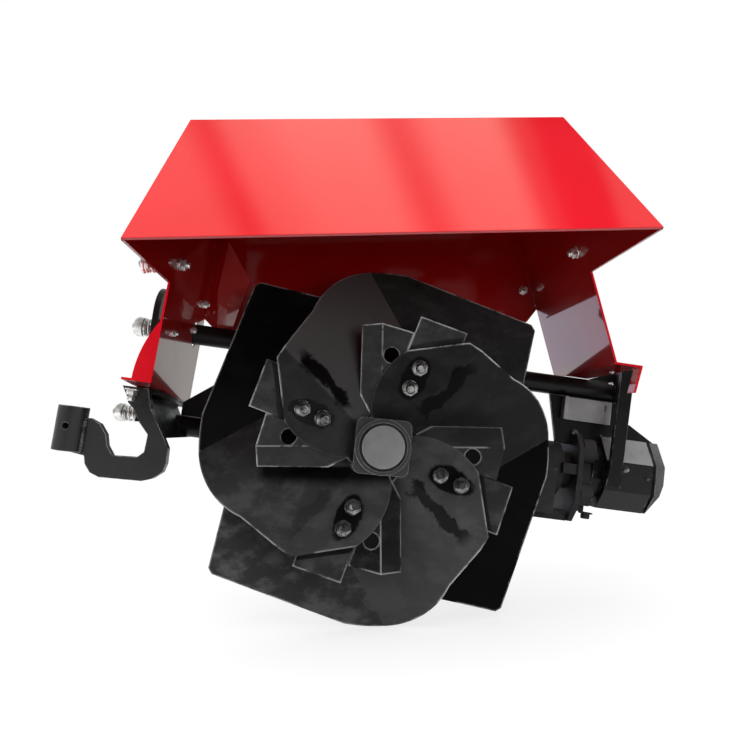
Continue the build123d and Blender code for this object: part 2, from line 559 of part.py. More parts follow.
def gearbox_hanger(side):
    """Upright plate between the gearbox's top and the upper tube; side is -1 left, +1 right."""
    middle = side * (CARRIER_SIZE / 2 - HANGER_INSET)
    x0, x1 = middle - HANGER_THICKNESS / 2, middle + HANGER_THICKNESS / 2
    rear, top = TUBE_Y + TUBE_RADIUS, UPPER_TUBE_Z - HANGER_TOP_DROP
    outline = [(HANGER_FRONT[0], GEARBOX_HALF), (GEARBOX_REAR - GEARBOX_CHAMFER, GEARBOX_HALF),
               (rear, UPPER_TUBE_Z - CARRIER_SIZE / 2 - HANGER_STEP), (rear, top), (HANGER_FRONT[1], top)]
    return plate_yz(outline, x0, x1) - rod_x(x0 - 1, x1 + 1, TUBE_Y, UPPER_TUBE_Z, TUBE_RADIUS + SEAT)


# ================================================================ hook
def sleeve_bar(radius):
    """A round bar upright on the hook's end."""
    x, z = LEFT_FOOT[0] + SLEEVE_X, LEFT_FOOT[1]
    return rod_z(z + SLEEVE_BOTTOM, z + SLEEVE_TOP, x, HOOK_Y + HOOK_THICKNESS / 2, radius)


def hook_plate():
    """Flat J-shaped plate from the left leg's flange down and round to the sleeve."""
    back = HOOK_Y + HOOK_THICKNESS
    top = leg_foot(-1, back)[1] - SEAT
    arm_top = [(LEFT_FOOT[0] + x, top) for x in HOOK_ARM_X]
    outline = from_left_foot([BRACE_ELBOW, BRACE_FOOT, *HOOK_BEND, (SLEEVE_X, SLEEVE_BOTTOM),
                              (SLEEVE_X, SLEEVE_TOP - HOOK_STEP), *HOOK_MOUTH])
    return plate_xz(arm_top + outline, HOOK_Y, back) - sleeve_bar(SLEEVE_RADIUS)


def hook_sleeve():
    """Upright socket at the hook's end, bored through, with a cross hole for a pin in front."""
    y = HOOK_Y + HOOK_THICKNESS / 2
    (x, z), = from_left_foot([(SLEEVE_X, CROSS_HOLE_Z)])
    cross_hole = rod_y(HOOK_Y - SLEEVE_RADIUS, y, x, z, CROSS_HOLE_RADIUS)
    return sleeve_bar(SLEEVE_RADIUS) - sleeve_bar(SLEEVE_BORE) - cross_hole


# ================================================================ drive
def gearbox_housing():
    """Cast body with chamfered edges and a long neck to the right."""
    body = block((GEARBOX_LEFT, GEARBOX_RIGHT), (GEARBOX_FRONT, GEARBOX_REAR), (-GEARBOX_HALF, GEARBOX_HALF))
    body = chamfer(body.edges().filter_by(Axis.X) + body.edges().filter_by(Axis.Z), GEARBOX_CHAMFER)
    body += rod_x(GEARBOX_RIGHT - 20, NECK_END, DRIVE_Y, 0, NECK_RADIUS)
    body += rod_x(NECK_END - 1, FLANGE_LEFT, DRIVE_Y, 0, THROAT_RADIUS)
    for left, right, front, rear, low, high in NECK_RIBS:
        body += block((left, right), (front, rear), (low, high))
    return body - rod_y(GEARBOX_FRONT - 1, GEARBOX_REAR - 12, 0, 0, SHAFT_RADIUS + BEARING_WALL)


def output_bearing():
    """Housing tube in the gearbox with a square flange in front, running on the rotor shaft."""
    ring = rod_y(BEARING_FRONT, GEARBOX_REAR - 12, 0, 0, SHAFT_RADIUS + BEARING_WALL)
    half = BEARING_FLANGE_HALF
    flange = block((-half, half), (BEARING_FRONT, GEARBOX_FRONT), (-half, half))
    ring += chamfer(flange.edges().filter_by(Axis.Y), half / 3)
    return ring - rod_y(BEARING_FRONT - 1, GEARBOX_REAR - 20, 0, 0, SHAFT_RADIUS + SHAFT_FIT)


def gearbox_end_flange():
    """Cast flange at the neck's end: an eight-sided plate with four bosses and a foot."""
    flange = plate_yz(FLANGE_SECTION, FLANGE_LEFT, FLANGE_RIGHT)
    flange += rod_x(FLANGE_RIGHT, FLANGE_BACK, DRIVE_Y, -8, FLANGE_BARREL_RADIUS)
    for side in (-1, 1):
        for out, z in FLANGE_BOSSES:
            flange += rod_x(FLANGE_RIGHT, FLANGE_BACK, DRIVE_Y + side * out, z, FLANGE_BOSS_RADIUS)
    return flange + block((FLANGE_RIGHT, FLANGE_BACK - 1), (DRIVE_Y - 30, DRIVE_Y + 30), (-62, -40))


def motor_adapter():
    return rod_x(FLANGE_BACK, ADAPTER_END, DRIVE_Y, MOTOR_Z, ADAPTER_RADIUS)


def motor_body():
    """Eight-sided motor housing with a narrow spigot toward its end cover."""
    end = ADAPTER_END + MOTOR_LENGTH
    spigot = rod_x(end - 1, end + MOTOR_GROOVE, DRIVE_Y, MOTOR_Z, ADAPTER_RADIUS)
    return plate_yz(MOTOR_SECTION, ADAPTER_END, end) + spigot


def motor_end_cover():
    """End cover with the motor's section, its lower right edge cut away."""
    left = ADAPTER_END + MOTOR_LENGTH + MOTOR_GROOVE
    right = left + COVER_LENGTH
    low, high = min(z for y, z in MOTOR_SECTION), max(z for y, z in MOTOR_SECTION)
    side = plate_xz([(left, low), (right, COVER_CUT_Z), (right, high), (left, high)],
                    MOTOR_SECTION[0][0], MOTOR_SECTION[4][0])
    return plate_yz(MOTOR_SECTION, left, right) & side


def motor_port_block():
    """Wedge-shaped block on the motor with its two oil ports at the rear."""
    low = max(z for y, z in MOTOR_SECTION)
    high, middle = low + PORT_BLOCK_HEIGHT, low + PORT_BLOCK_HEIGHT / 2
    body = plate_xz([(PORT_BLOCK_LEFT, low), (PORT_BLOCK_LEFT, high), (PORT_BLOCK_FLAT, high),
                     (PORT_BLOCK_RIGHT, low)], PORT_BLOCK_FRONT, PORT_BLOCK_REAR)
    floor = PORT_BLOCK_REAR - PORT_DEPTH
    for step in PORT_STEPS:
        body -= rod_y(floor, PORT_BLOCK_REAR + 1, PORT_BLOCK_LEFT + step, middle, PORT_RADIUS)
    return body


# ================================================================ assembly
parts["hood_cover"] = hood_cover()
parts["hood_side_left"] = hood_side_left()
parts["hood_side_right"] = hood_side_right()
parts["hood_rear_wall"] = hood_rear_wall()

for name, piece in (("blade", blade()), ("knife", knife()), ("arm", arm())):
    for k in range(BLADE_COUNT):
        parts[f"{name}_{k + 1}"] = Rot(0, -360 / BLADE_COUNT * k, 0) * piece
parts["rotor_hub"] = rotor_hub()
parts["hub_cap"] = rod_y(0, HUB_FRONT, 0, 0, CAP_RADIUS)
parts["rotor_shaft"] = rod_y(HUB_FRONT, GEARBOX_REAR - 24, 0, 0, SHAFT_RADIUS)

parts["upper_tube"] = turned(tube(END_PLATE_RIGHT, WEB_LEFT, TUBE_Y, UPPER_TUBE_Z))
parts["lower_tube"] = turned(lower_tube())
parts["left_end_plate"] = turned(left_end_plate())
parts["hook_brace"] = turned(hook_brace())
parts["hook_plate"] = turned(hook_plate())
parts["hook_sleeve"] = turned(hook_sleeve())
parts["right_bracket"] = turned(right_bracket())
parts["hanger_strap"] = turned(hanger_strap())
parts["cross_plate"] = turned(cross_plate())
parts["frame_gusset"] = turned(frame_gusset())
parts["carrier_plate"] = turned(carrier_plate())
parts["gearbox_hanger_left"] = turned(gearbox_hanger(-1))
parts["gearbox_hanger_right"] = turned(gearbox_hanger(1))
parts["gearbox_housing"] = turned(gearbox_housing())
parts["output_bearing"] = turned(output_bearing())
parts["gearbox_end_flange"] = turned(gearbox_end_flange())
parts["motor_adapter"] = turned(motor_adapter())
parts["motor_body"] = turned(motor_body())
parts["motor_end_cover"] = turned(motor_end_cover())
parts["motor_port_block"] = turned(motor_port_block())

mount_y = TUBE_Y + TUBE_RADIUS + SEAT + CARRIER_THICKNESS
roll = math.radians(FRAME_ROLL)
to_row = Pos(-UPPER_TUBE_Z * math.sin(roll), -mount_y, -UPPER_TUBE_Z * math.cos(roll))
os.makedirs("parts", exist_ok=True)
for name, shape in parts.items():
    export_step(to_row * shape, f"parts/{name}.step")
print(len(parts), "parts; rotor axis at", tuple(round(v, 3) for v in to_row.position))
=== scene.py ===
"""Finish, fasteners and welds of a hydraulic rotary tiller head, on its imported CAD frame."""
import json
import math

import bmesh
import bpy
from mathutils import Matrix, Vector


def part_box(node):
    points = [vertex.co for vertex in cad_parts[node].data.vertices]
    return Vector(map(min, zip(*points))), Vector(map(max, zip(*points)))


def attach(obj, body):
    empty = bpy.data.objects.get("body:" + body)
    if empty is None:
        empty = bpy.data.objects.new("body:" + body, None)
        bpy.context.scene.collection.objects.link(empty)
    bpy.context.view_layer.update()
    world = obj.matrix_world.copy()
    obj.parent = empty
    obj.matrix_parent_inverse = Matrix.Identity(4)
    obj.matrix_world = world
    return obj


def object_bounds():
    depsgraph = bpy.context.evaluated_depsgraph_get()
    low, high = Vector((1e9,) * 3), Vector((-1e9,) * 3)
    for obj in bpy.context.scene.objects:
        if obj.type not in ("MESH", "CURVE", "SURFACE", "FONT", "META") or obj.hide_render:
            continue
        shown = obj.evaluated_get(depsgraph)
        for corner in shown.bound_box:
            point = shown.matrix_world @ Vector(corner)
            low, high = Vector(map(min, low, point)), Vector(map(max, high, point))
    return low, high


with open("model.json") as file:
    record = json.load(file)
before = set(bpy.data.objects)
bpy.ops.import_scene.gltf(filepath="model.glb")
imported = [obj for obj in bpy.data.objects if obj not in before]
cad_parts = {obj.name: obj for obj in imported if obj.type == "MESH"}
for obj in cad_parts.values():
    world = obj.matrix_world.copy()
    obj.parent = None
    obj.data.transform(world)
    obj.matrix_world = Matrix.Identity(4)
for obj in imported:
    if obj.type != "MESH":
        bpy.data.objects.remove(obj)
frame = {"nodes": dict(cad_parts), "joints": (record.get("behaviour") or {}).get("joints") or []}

cad_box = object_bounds()
MM = 0.001


# ------------------------------------------------------------------ tube frame and carrier plate
# The welded frame that carries everything: two round tubes, an upright end plate on the left, a bracket
# on the right and the plate with four holes that bolts to the carrier. Mild steel, sprayed black enamel,
# the paint rubbed through to bright steel along the edges.
spin = frame["joints"][0]["pos_m"]
AXIS_X, AXIS_Z = spin[0], spin[2]
CAP_FACE_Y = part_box("hub_cap")[0].y
FRAME_TURN = math.radians(10)          # the frame hangs turned this much about the rotor axis


def level(x, y, z):
    """A point from millimetres off the rotor axis and the hub cap's face, in the level hood's directions."""
    return Vector((AXIS_X + x * MM, CAP_FACE_Y + y * MM, AXIS_Z + z * MM))


def hung(x, y, z):
    """The same in the turned frame's directions."""
    turn = Matrix.Rotation(FRAME_TURN, 3, "Y")
    return Vector((AXIS_X, CAP_FACE_Y, AXIS_Z)) + turn @ Vector((x * MM, y * MM, z * MM))


def new_group(name, inputs, outputs):
    """An empty node group with named float inputs and typed outputs."""
    group = bpy.data.node_groups.new(name, "ShaderNodeTree")
    for label, value in inputs:
        socket = group.interface.new_socket(label, in_out="INPUT", socket_type="NodeSocketFloat")
        socket.default_value = value
    for label, kind in outputs:
        group.interface.new_socket(label, in_out="OUTPUT", socket_type=kind)
    return group, group.nodes.new("NodeGroupInput"), group.nodes.new("NodeGroupOutput")


def new_material(name):
    """A new material, its node tree and its shader."""
    material = bpy.data.materials.new(name)
    material.use_nodes = True
    return material, material.node_tree, material.node_tree.nodes["Principled BSDF"]


def feed(tree, socket, value):
    """Links another node's output into the socket, or sets a plain number, vector or colour there."""
    if isinstance(value, bpy.types.NodeSocket):
        tree.links.new(value, socket)
    elif socket.type == "RGBA":
        socket.default_value = (*value, 1.0)
    else:
        socket.default_value = value


def math_node(tree, operation, first, second=0.5):
    node = tree.nodes.new("ShaderNodeMath")
    node.operation = operation
    feed(tree, node.inputs[0], first)
    feed(tree, node.inputs[1], second)
    return node.outputs[0]


def vector_node(tree, operation, first, second):
    node = tree.nodes.new("ShaderNodeVectorMath")
    node.operation = operation
    feed(tree, node.inputs[0], first)
    feed(tree, node.inputs[1], second)
    return node.outputs["Value" if operation == "DOT_PRODUCT" else "Vector"]


def facing(tree, axis):
    """How squarely a face points along X, Y or Z, from -1 to 1."""
    surface = tree.nodes.new("ShaderNodeNewGeometry")
    split = tree.nodes.new("ShaderNodeSeparateXYZ")
    tree.links.new(surface.outputs["Normal"], split.inputs[0])
    return split.outputs[axis]


def step(tree, value, low, high, to_low=0.0, to_high=1.0):
    """value mapped smoothly from low..high to to_low..to_high."""
    node = tree.nodes.new("ShaderNodeMapRange")
    node.interpolation_type = "SMOOTHSTEP"
    for label, number in (("From Min", low), ("From Max", high), ("To Min", to_low), ("To Max", to_high)):
        node.inputs[label].default_value = number
    tree.links.new(value, node.inputs["Value"])
    return node.outputs[0]


def speckle(tree, scale, detail=3.0, roughness=0.55, stretch=(1, 1, 1)):
    """Noise on Object coordinates, stretched if asked."""
    where = tree.nodes.new("ShaderNodeTexCoord")
    mapping = tree.nodes.new("ShaderNodeMapping")
    mapping.inputs["Scale"].default_value = stretch
    noise = tree.nodes.new("ShaderNodeTexNoise")
    noise.inputs["Detail"].default_value = detail
    noise.inputs["Roughness"].default_value = roughness
    tree.links.new(where.outputs["Object"], mapping.inputs["Vector"])
    tree.links.new(mapping.outputs["Vector"], noise.inputs["Vector"])
    feed(tree, noise.inputs["Scale"], scale)
    return noise.outputs["Fac"]


def edge_wear_group():
    """Where an outer edge is rubbed bare: the rounded normal against the true one, broken up by noise."""
    group, given, out = new_group("edge_wear", [("Width", 0.0015), ("Amount", 0.5), ("Patch Scale", 60.0)],
                                  [("Mask", "NodeSocketFloat")])
    rounded = group.nodes.new("ShaderNodeBevel")
    rounded.samples = 6
    group.links.new(given.outputs["Width"], rounded.inputs["Radius"])
    surface = group.nodes.new("ShaderNodeNewGeometry")
    likeness = vector_node(group, "DOT_PRODUCT", rounded.outputs["Normal"], surface.outputs["Normal"])
    edge = step(group, math_node(group, "SUBTRACT", 1.0, likeness), 0.10, 0.22)
    patch = speckle(group, given.outputs["Patch Scale"], 4.0, 0.65)
    bare = math_node(group, "ADD", patch, math_node(group, "SUBTRACT", given.outputs["Amount"], 0.5))
    group.links.new(math_node(group, "MULTIPLY", edge, step(group, bare, 0.40, 0.56)), out.inputs["Mask"])
    return group


def orange_peel_group():
    """The fine waviness of sprayed paint, and soft smudges that change its gloss."""
    group, given, out = new_group("orange_peel", [("Grain Scale", 700.0), ("Smudge Scale", 9.0)],
                                  [("Height", "NodeSocketFloat"), ("Smudge", "NodeSocketFloat")])
    group.links.new(speckle(group, given.outputs["Grain Scale"], 2.0), out.inputs["Height"])
    group.links.new(step(group, speckle(group, given.outputs["Smudge Scale"], 5.0, 0.6), 0.35, 0.65),
                    out.inputs["Smudge"])
    return group


def dust_group():
    """Dry soil dust that settles on faces turned upward."""
    group, given, out = new_group("dust", [("Amount", 0.3), ("Patch Scale", 14.0)],
                                  [("Mask", "NodeSocketFloat")])
    upward = step(group, facing(group, "Z"), -0.2, 0.9)
    patch = step(group, speckle(group, given.outputs["Patch Scale"], 6.0, 0.65), 0.42, 0.70)
    group.links.new(math_node(group, "MULTIPLY", math_node(group, "MULTIPLY", upward, patch),
                              given.outputs["Amount"]), out.inputs["Mask"])
    return group


EDGE_WEAR, ORANGE_PEEL, DUST = edge_wear_group(), orange_peel_group(), dust_group()


def put_group(tree, group, **values):
    node = tree.nodes.new("ShaderNodeGroup")
    node.node_tree = group
    for label, value in values.items():
        node.inputs[label.replace("_", " ")].default_value = value
    return node.outputs


FIRST_COLOR, SECOND_COLOR, MIXED_COLOR = 6, 7, 2     # the Mix node's sockets for colours


def blend_colors(tree, mask, first, second):
    """first where the mask is 0, second where it is 1."""
    node = tree.nodes.new("ShaderNodeMix")
    node.data_type = "RGBA"
    tree.links.new(mask, node.inputs["Factor"])
    feed(tree, node.inputs[FIRST_COLOR], first)
    feed(tree, node.inputs[SECOND_COLOR], second)
    return node.outputs[MIXED_COLOR]


def bump(tree, height, strength, distance):
    node = tree.nodes.new("ShaderNodeBump")
    node.inputs["Strength"].default_value = strength
    node.inputs["Distance"].default_value = distance
    tree.links.new(height, node.inputs["Height"])
    return node.outputs["Normal"]


SOIL = 0.09, 0.08, 0.07                # dry earth that settles on the paint


def enamel(name, paint, bare=(0.55, 0.54, 0.53), gloss=(0.22, 0.42), shine=0.5, wear=0.45,
           wear_width=0.0015, grain=(700.0, 0.05)):
    """Sprayed paint on steel: smudged gloss, dust on top, bright metal along the rubbed edges."""
    material, tree, shader = new_material(name)
    grain_scale, grain_depth = grain
    peel = put_group(tree, ORANGE_PEEL, Grain_Scale=grain_scale)
    edge = put_group(tree, EDGE_WEAR, Width=wear_width, Amount=wear)["Mask"]
    settled = put_group(tree, DUST, Amount=0.35)["Mask"]
    uneven = blend_colors(tree, peel["Smudge"], [c * 0.75 for c in paint], [c * 1.25 for c in paint])
    dusty = blend_colors(tree, settled, uneven, SOIL)
    tree.links.new(blend_colors(tree, edge, dusty, bare), shader.inputs["Base Color"])
    tree.links.new(edge, shader.inputs["Metallic"])
    smudged = step(tree, peel["Smudge"], 0.0, 1.0, *gloss)
    dulled = math_node(tree, "MULTIPLY", settled, 0.5)
    tree.links.new(math_node(tree, "ADD", smudged, dulled), shader.inputs["Roughness"])
    tree.links.new(bump(tree, peel["Height"], grain_depth, 0.001), shader.inputs["Normal"])
    shader.inputs["Specular IOR Level"].default_value = shine
    return material


def finish_node(material, *nodes):
    """Gives CAD nodes their finish through their material slots."""
    for node in nodes:
        mesh = frame["nodes"][node].data
        mesh.materials.clear()
        mesh.materials.append(material)


frame_enamel = enamel("frame_enamel", (0.009, 0.009, 0.0093), gloss=(0.28, 0.40), shine=0.18)
finish_node(frame_enamel, "upper_tube", "lower_tube", "left_end_plate", "hook_brace", "right_bracket",
            "hanger_strap", "frame_gusset", "carrier_plate", "gearbox_hanger_left", "gearbox_hanger_right")
zinc_cover = enamel("zinc_cover", (0.46, 0.46, 0.47), bare=(0.8, 0.8, 0.8), gloss=(0.3, 0.5), wear=0.6)
finish_node(zinc_cover, "cross_plate")


# ------------------------------------------------------------------ fasteners of the frame
# Zinc plated bolts, nuts and coil springs at the left end plate and under the left leg's flange, a grub
# screw in the upper tube, and the screw beside the bracket. Turned or pressed steel, screwed in place.


SOILED_METAL = 0.24, 0.21, 0.18


def plated(name, metal, tarnish, gloss=(0.18, 0.34)):
    """Plated steel: bright metal, dulled and darkened in blotches."""
    material, tree, shader = new_material(name)
    peel = put_group(tree, ORANGE_PEEL, Grain_Scale=900.0, Smudge_Scale=90.0)
    settled = put_group(tree, DUST, Amount=0.5, Patch_Scale=70.0)["Mask"]
    blotched = blend_colors(tree, peel["Smudge"], metal, tarnish)
    tree.links.new(blend_colors(tree, settled, blotched, SOILED_METAL), shader.inputs["Base Color"])
    tree.links.new(step(tree, peel["Smudge"], 0.0, 1.0, *gloss), shader.inputs["Roughness"])
    tree.links.new(bump(tree, peel["Height"], 0.08, 0.0006), shader.inputs["Normal"])
    shader.inputs["Metallic"].default_value = 0.85
    return material


zinc = plated("zinc_plating", (0.90, 0.90, 0.88), (0.55, 0.55, 0.54))


def standing(place, axis):
    """Stands a piece made along +Z at this place, pointing along axis."""
    return Matrix.Translation(place) @ Vector(axis).to_track_quat("Z", "Y").to_matrix().to_4x4()


def join(mesh, part, where):
    """Moves a part made at the origin to its place and adds it to the mesh."""
    bmesh.ops.recalc_face_normals(part, faces=part.faces)
    bmesh.ops.transform(part, matrix=where, verts=part.verts)
    data = bpy.data.meshes.new("part")
    part.to_mesh(data)
    part.free()
    mesh.from_mesh(data)
    bpy.data.meshes.remove(data)


def add_turned(mesh, profile, where, sides=24):
    """A turned part: its (radius, height) profile in millimetres, spun round its own axis."""
    part = bmesh.new()
    corners = [part.verts.new((radius * MM, 0, height * MM)) for radius, height in profile]
    edges = [part.edges.new(pair) for pair in zip(corners, corners[1:])]
    bmesh.ops.spin(part, geom=corners + edges, cent=(0, 0, 0), axis=(0, 0, 1), angle=math.tau, steps=sides,
                   use_merge=True)
    bmesh.ops.remove_doubles(part, verts=part.verts, dist=1e-6)
    join(mesh, part, where)


def add_hex(mesh, flats, height, where):
    """A hexagon nut or head of this width across flats, its upper rim chamfered."""
    part = bmesh.new()
    corner = flats / math.sqrt(3) * MM
    bmesh.ops.create_cone(part, cap_ends=True, segments=6, radius1=corner, radius2=corner,
                          depth=height * MM, matrix=Matrix.Translation((0, 0, height / 2 * MM)))
    top = [edge for edge in part.edges if all(vert.co.z > height * 0.9 * MM for vert in edge.verts)]
    bmesh.ops.bevel(part, geom=top, offset=1.0 * MM, segments=2, profile=0.5, affect="EDGES", material=-1)
    join(mesh, part, where)


def thread(radius, start, end):
    """Profile of a threaded rod from start to end, its end chamfered."""
    pitch, root = 1.75, 0.88
    turns = max(2, round((end - start) / pitch))
    rise = (end - start) / turns
    crests = [(radius * (root if k % 2 else 1.0), start + rise / 2 * k) for k in range(2 * turns)]
    return [(0, start), *crests, (radius * 0.8, end), (0, end)]


def add_washer(mesh, radius, thickness, where):
    """A flat washer, its corners eased."""
    add_turned(mesh, [(0, 0), (radius - 0.3, 0), (radius, 0.4), (radius, thickness - 0.4),
                      (radius - 0.4, thickness), (0, thickness)], where, 32)


WASHER = 2.0                           # thickness of every washer


def add_nut(mesh, place, axis, flats, end, washer):
    """Washer, hexagon nut and the bolt's threaded end standing out of it."""
    where = standing(place, axis)
    add_washer(mesh, washer, WASHER, where)
    add_hex(mesh, flats, flats * 0.5, where @ Matrix.Translation((0, 0, WASHER * MM)))
    top = WASHER + flats * 0.5
    add_turned(mesh, thread(flats * 0.32, top - 1, top + end), where)


def add_spring(mesh, place, axis, radius, wire, turns, length):
    """A coil spring standing on place, wound from round wire."""
    part = bmesh.new()
    steps = 16 * turns
    upright = Matrix.Translation((radius * MM, 0, 0)) @ Matrix.Rotation(math.pi / 2, 4, "X")
    bmesh.ops.create_circle(part, segments=8, radius=wire / 2 * MM, matrix=upright)
    bmesh.ops.spin(part, geom=part.verts[:] + part.edges[:], cent=(0, 0, 0), axis=(0, 0, 1),
                   angle=math.tau * turns, steps=steps, dvec=(0, 0, length * MM / steps))
    ends = [edge for edge in part.edges if len(edge.link_faces) == 1]
    bmesh.ops.holes_fill(part, edges=ends, sides=0)
    join(mesh, part, standing(place, axis))


def finish_piece(name, mesh, material, body):
    """The finished piece: normals outward, shaded smooth but for its edges, riding on its body."""
    bmesh.ops.recalc_face_normals(mesh, faces=mesh.faces)
    for face in mesh.faces:
        face.smooth = True
    data = bpy.data.meshes.new(name)
    mesh.to_mesh(data)
    mesh.free()
    data.set_sharp_from_angle(angle=math.radians(35))
    data.materials.append(material)
    piece = bpy.data.objects.new(name, data)
    bpy.context.scene.collection.objects.link(piece)
    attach(piece, body)


def toward(x, y, z):
    """A direction of the turned frame."""
    return Matrix.Rotation(FRAME_TURN, 3, "Y") @ Vector((x, y, z))


def add_spring_bolt(mesh, base, axis, spring, radius, wire, turns, nut):
    """A long bolt whose round nut presses a coil spring against the sheet."""
    bolt = 5.0                           # the bolt's radius, and how far it stands out of the nut
    add_turned(mesh, thread(bolt, 0, spring + nut + bolt), standing(base, axis))
    add_spring(mesh, base, axis, radius, wire, turns, spring)
    above = base + Vector(axis) * spring * MM
    add_washer(mesh, radius + 2.0, WASHER, standing(above, axis))
    dome = [(0, 0), (radius + 1, 0), (radius + 3, 2), (radius + 3, nut * 0.6), (radius, nut * 0.9),
            (bolt, nut), (0, nut)]
    add_turned(mesh, dome, standing(above + Vector(axis) * WASHER * MM, axis))


PLATE_LEFT = -364.0                    # left face of the end plate
END_PLATE_BOLTS = {                    # depth and height on the plate: spring, radius, wire, turns, nut
    (192, -2): (27, 11.0, 3.4, 4, 15),
    (190, 135): (17, 12.5, 3.6, 3, 17),
}
spring_bolts = bmesh.new()
for (y, z), sizes in END_PLATE_BOLTS.items():
    add_spring_bolt(spring_bolts, hung(PLATE_LEFT, y, z), toward(-1, 0, 0), *sizes)
finish_piece("end_plate_spring_bolts", spring_bolts, zinc, "head")

flange_bolt = bmesh.new()
add_nut(flange_bolt, hung(-342.5, 45, 33), toward(0, 0, -1), flats=13.0, end=3.0, washer=9.5)
add_hex(flange_bolt, 9.0, 6.0, standing(hung(-342.5, 45, 22.5), toward(0, 0, -1)))
finish_piece("left_flange_bolt", flange_bolt, zinc, "head")

grub_screw = bmesh.new()
add_nut(grub_screw, hung(-304.0, 173.5, 139.0), toward(0, -1, 0), flats=7.0, end=2.0, washer=5.0)
finish_piece("tube_grub_screw", grub_screw, zinc, "head")

bracket_bolts = bmesh.new()
add_nut(bracket_bolts, hung(356.0, 138, 142.9), toward(-1, 0, 0), flats=4.0, end=3.0, washer=2.4)
finish_piece("bracket_bolts", bracket_bolts, zinc, "head")


# ------------------------------------------------------------------ hood
# The guard over the rotor, cut and bent from three millimetre steel sheet: visor with roof, two leaning
# sides with their legs, and a rear wall. Bright red powder coat, glossy enough to mirror its surroundings.
HOOD_MIDDLE = 12.0                     # the hood stands this far right of the rotor axis
INSIDE = level(HOOD_MIDDLE, 20, 230)   # a point in the hood's hollow, to tell its inner faces by
BRIGHT_EDGE = 0.95, 0.05, 0.07


def powder_coat(name, red, deep, painted_inside_tone):
    """Glossy powder coat, its inner faces painted with their own tone for the light and shade inside the
    hood, its rims rubbed.
    """
    material, tree, shader = new_material(name)
    where = tree.nodes.new("ShaderNodeTexCoord")
    surface = tree.nodes.new("ShaderNodeNewGeometry")
    toward_inside = vector_node(tree, "SUBTRACT", INSIDE, where.outputs["Object"])
    turned_in = vector_node(tree, "DOT_PRODUCT", toward_inside, surface.outputs["Normal"])
    # faces turned into the hood's hollow get the painted inside tone
    inner = step(tree, turned_in, 0.01, 0.03)
    peel = put_group(tree, ORANGE_PEEL, Grain_Scale=420.0, Smudge_Scale=5.0)
    edge = put_group(tree, EDGE_WEAR, Width=0.0016, Amount=0.35, Patch_Scale=45.0)["Mask"]
    rim = put_group(tree, EDGE_WEAR, Width=0.0050, Amount=1.0, Patch_Scale=45.0)["Mask"]
    coat = blend_colors(tree, inner, blend_colors(tree, peel["Smudge"], deep, red), painted_inside_tone)
    dulled = math_node(tree, "MULTIPLY", rim, 0.9)
    tree.links.new(math_node(tree, "SUBTRACT", 1.0, dulled), shader.inputs["Coat Weight"])
    tree.links.new(blend_colors(tree, edge, coat, BRIGHT_EDGE), shader.inputs["Base Color"])
    tree.links.new(step(tree, peel["Smudge"], 0.0, 1.0, 0.30, 0.42), shader.inputs["Roughness"])
    tree.links.new(bump(tree, peel["Height"], 0.03, 0.001), shader.inputs["Normal"])
    shader.inputs["Specular IOR Level"].default_value = 0.05
    shader.inputs["Coat Roughness"].default_value = 0.06
    shader.inputs["Coat IOR"].default_value = 1.85
    return material


# its inner faces a dark red: painted shade inside the hood
hood_red = powder_coat("hood_red", (0.95, 0.006, 0.022), (0.90, 0.004, 0.016), (0.50, 0.005, 0.004))
finish_node(hood_red, "hood_cover", "hood_side_left", "hood_side_right", "hood_rear_wall")


# ------------------------------------------------------------------ fasteners and seams of the hood
# Zinc plated nuts inside the hood where its shields bolt on, a spring bolt outside the left side, the two
# welded corner seams and a patch plate in the left corner. The seams are coated with the hood; the plate
# with a lighter copy of the hood's coat, painted light.
SIDE_LEAN = 0.2                        # how far each side comes in for each millimetre up
LEFT, RIGHT = -1, 1
hood_nuts = bmesh.new()
for x, y, z, side, flats in ((-262.6, 29.4, 257.2, LEFT, 14), (-267.2, 208.0, 238.5, LEFT, 11),
                             (-280.5, 54.3, 167.4, LEFT, 8), (286.0, 24.1, 259.9, RIGHT, 14)):
    inward = Vector((-side, 0, -SIDE_LEAN)).normalized()
    add_nut(hood_nuts, level(x, y, z), inward, flats=flats, end=flats * 0.35, washer=flats * 0.62)
add_nut(hood_nuts, level(272.8, 236, 252), (0, -1, 0), flats=12, end=5, washer=8)
finish_piece("hood_nuts", hood_nuts, zinc, "head")

guard_bolt = bmesh.new()
add_spring_bolt(guard_bolt, level(-266.5, 29.4, 255.0), Vector((-1, 0, 0.08)).normalized(),
                spring=38, radius=10.0, wire=3.0, turns=6, nut=7)
finish_piece("guard_spring_bolt", guard_bolt, zinc, "head")


def add_bead(mesh, start, end, radius, ripples):
    """A weld bead between two points: a ring drawn along in steps that swell and pinch."""
    length = (end - start).length / MM
    waves = [(radius * (1.0 if k % 2 else 0.78), length * k / (2 * ripples)) for k in range(2 * ripples + 1)]
    add_turned(mesh, [(0, 0), *waves, (0, length)], standing(start, end - start), 10)


SEAM_LOW, SEAM_TOP = 224.0, 420.0
seams = bmesh.new()
for side in (LEFT, RIGHT):
    corner = [level(HOOD_MIDDLE + side * (325 - SIDE_LEAN * z), 235, z) for z in (SEAM_LOW, SEAM_TOP)]
    add_bead(seams, *corner, 2.6, 40)
finish_piece("corner_seams", seams, hood_red, "head")

